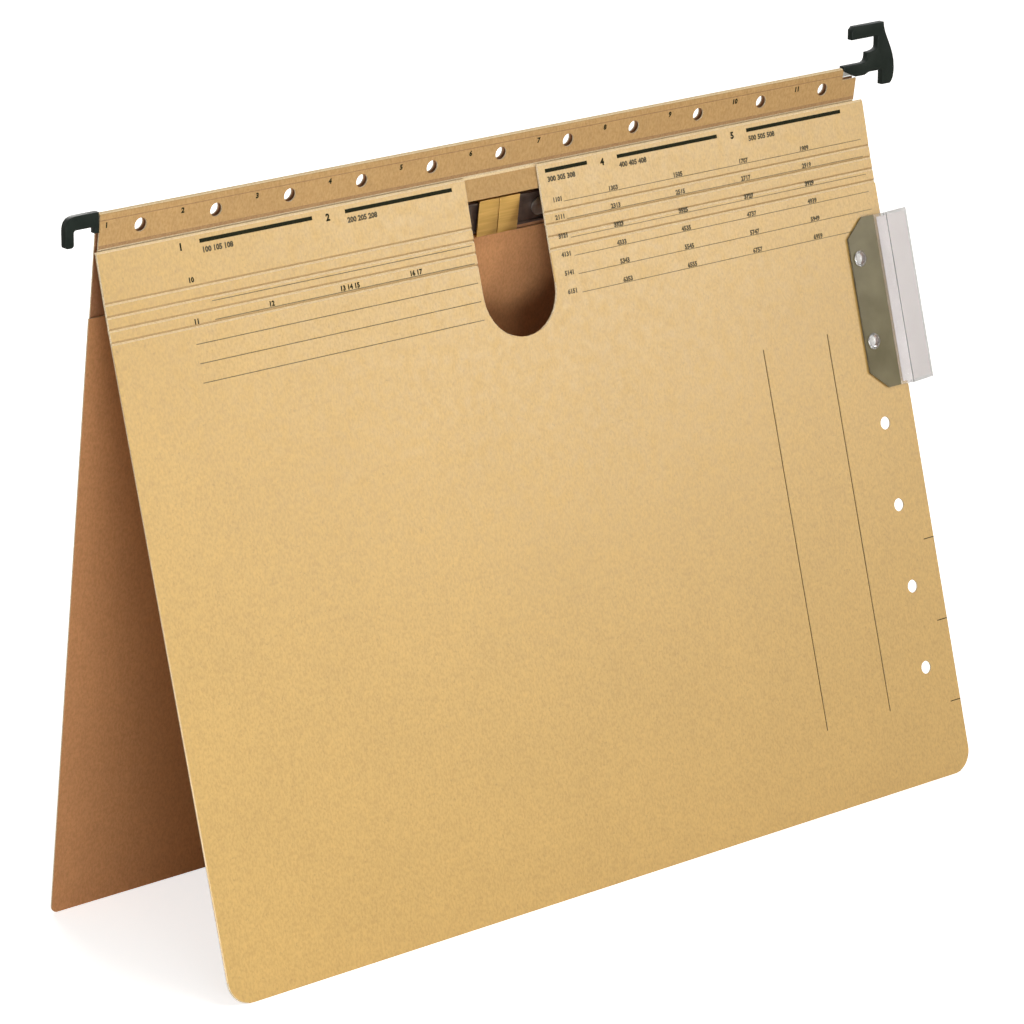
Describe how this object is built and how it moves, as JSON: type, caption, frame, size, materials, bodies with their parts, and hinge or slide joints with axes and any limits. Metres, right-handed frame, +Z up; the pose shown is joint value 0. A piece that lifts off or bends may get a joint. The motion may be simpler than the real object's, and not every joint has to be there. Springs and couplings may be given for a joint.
{
  "type": "hanging fastener folder",
  "caption": "Kraft card hanging folder standing as a tent: steel rail with plastic end hooks, creased front cover with thumb notch, clear index tab, prong fastener inside",
  "frame": {"origin": "centre of the bounding box on the floor that the two covers stand on", "axes": "+X along the rail towards the double hook, -Y towards the front cover, +Z up"},
  "size_m": [0.3464, 0.0968, 0.2514],
  "materials": {
    "cover_kraft": "matte",
    "spine_kraft": "matte",
    "hook_plastic": "satin",
    "clear_plastic": "gloss",
    "label_paper": "matte",
    "dark_steel": "satin lacquer",
    "brass_plate": "satin",
    "bare_steel": "satin"
  },
  "bodies": {
    "spine_and_rear": {"rail": "bare_steel", "left_hook": "hook_plastic", "right_hook": "hook_plastic", "spine_card": "spine_kraft", "rear_cover": "cover_kraft", "prong_strip": "bare_steel", "compressor_bar": "dark_steel", "left_rivet": "bare_steel", "right_rivet": "bare_steel"},
    "front_head": {"spine_front_flap": "spine_kraft", "header_left": "cover_kraft", "header_right": "cover_kraft"},
    "crease_strip_1": {"crease_strip_1_left": "cover_kraft", "crease_strip_1_right": "cover_kraft"},
    "crease_strip_2": {"crease_strip_2_left": "cover_kraft", "crease_strip_2_right": "cover_kraft"},
    "crease_strip_3": {"crease_strip_3_left": "cover_kraft", "crease_strip_3_right": "cover_kraft"},
    "cover": {"front_cover": "cover_kraft", "tab_holder": "clear_plastic", "tab_back_strip": "clear_plastic", "upper_tab_peg": "clear_plastic", "lower_tab_peg": "clear_plastic"},
    "label": {"tab_label": "label_paper"},
    "left_slider": {"left_slider": "brass_plate"},
    "right_slider": {"right_slider": "brass_plate"}
  },
  "joints": [
    {"name": "spine_fold", "type": "hinge", "parent": "spine_and_rear", "child": "front_head", "pos_m": [-0.0025, 0.01662, 0.22525], "axis": [-1, 0, 0], "range_deg": [-5, 35]},
    {"name": "crease_1_fold", "type": "hinge", "parent": "front_head", "child": "crease_strip_1", "pos_m": [-0.0025, 0.01184, 0.20995], "axis": [-1, 0, 0], "range_deg": [-4.5, 32]},
    {"name": "crease_2_fold", "type": "hinge", "parent": "crease_strip_1", "child": "crease_strip_2", "pos_m": [-0.0025, 0.01081, 0.20609], "axis": [-1, 0, 0], "range_deg": [-4.5, 32]},
    {"name": "crease_3_fold", "type": "hinge", "parent": "crease_strip_2", "child": "crease_strip_3", "pos_m": [-0.0025, 0.00976, 0.20223], "axis": [-1, 0, 0], "range_deg": [-4.5, 32]},
    {"name": "cover_fold", "type": "hinge", "parent": "crease_strip_3", "child": "cover", "pos_m": [-0.0025, 0.00868, 0.19838], "axis": [-1, 0, 0], "range_deg": [-4.5, 32]},
    {"name": "label_slide", "type": "slide", "parent": "cover", "child": "label", "axis": [0, -0.2756, -0.9613], "range_m": [0, 0.057]},
    {"name": "left_slider_slide", "type": "slide", "parent": "spine_and_rear", "child": "left_slider", "axis": [-1, 0, 0], "range_m": [0, 0.026]},
    {"name": "right_slider_slide", "type": "slide", "parent": "spine_and_rear", "child": "right_slider", "axis": [1, 0, 0], "range_m": [0, 0.026]}
  ]
}
